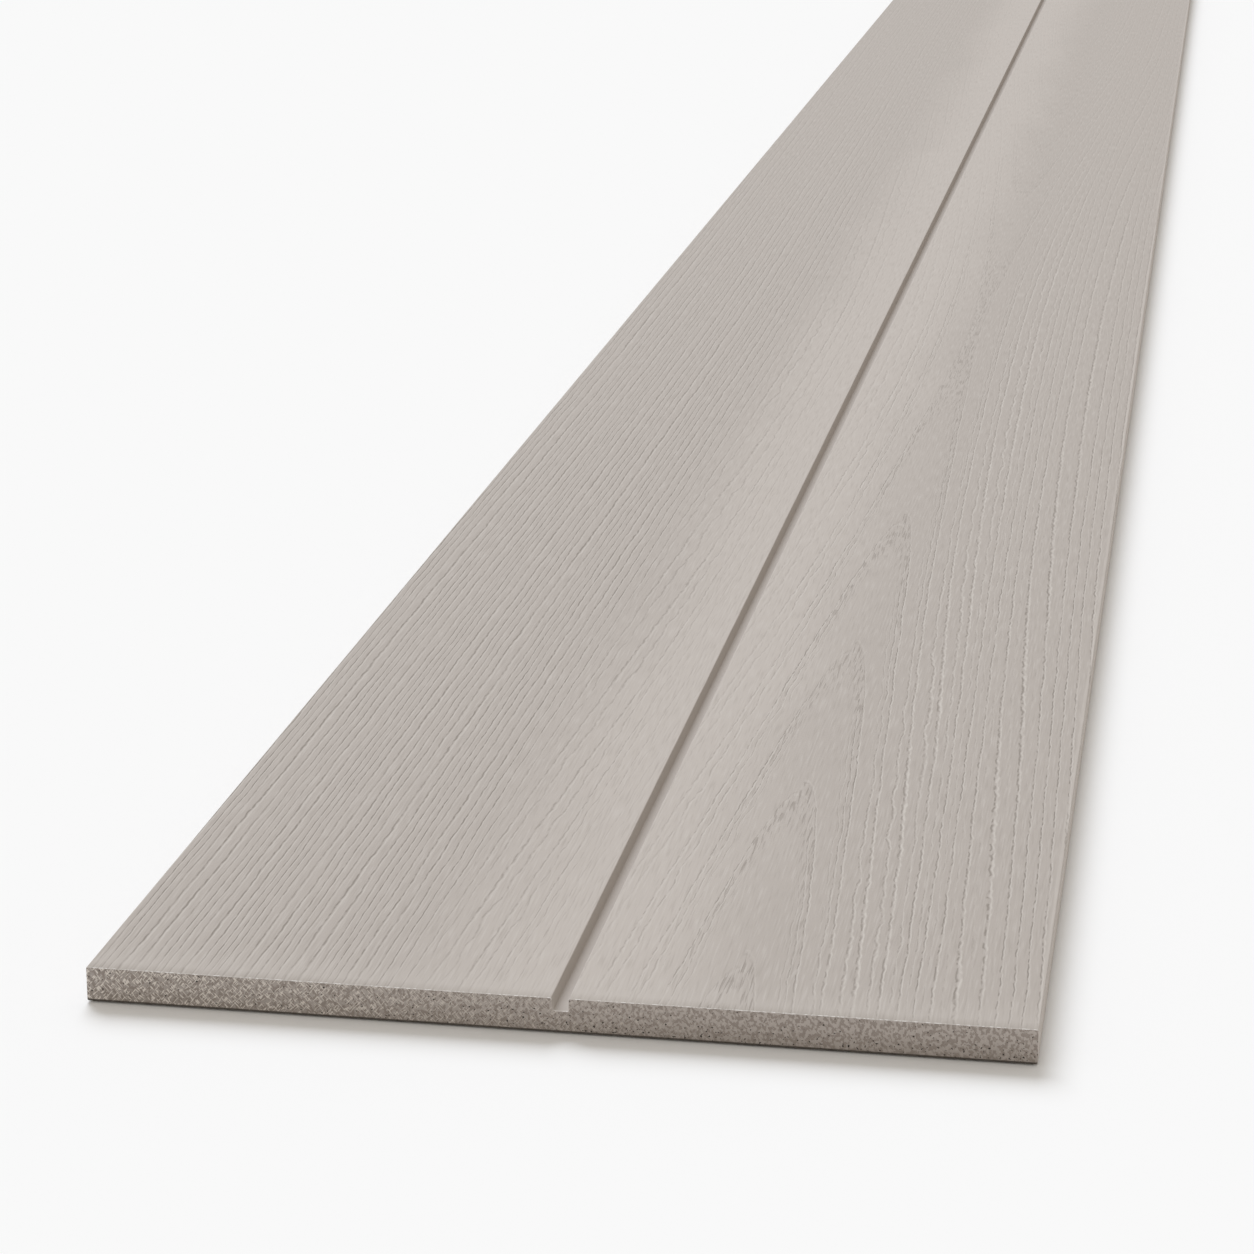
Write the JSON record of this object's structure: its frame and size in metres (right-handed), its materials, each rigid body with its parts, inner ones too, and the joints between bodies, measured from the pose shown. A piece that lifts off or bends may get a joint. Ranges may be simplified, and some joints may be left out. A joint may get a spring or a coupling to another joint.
{
  "type": "lap siding board",
  "caption": "Flat fibre-cement siding plank with a pressed wood grain and a shadow groove along its face, near the middle, for cladding a wall in overlapping courses.",
  "frame": {"origin": "middle of the flat back, on the surface that the board lies on", "axes": "+X across the width, +Y along the length, +Z out of the grained face"},
  "size_m": [0.2096, 3.6576, 0.0079],
  "materials": {
    "board": "matte"
  },
  "bodies": {
    "root": {"board": "board"}
  },
  "joints": []
}
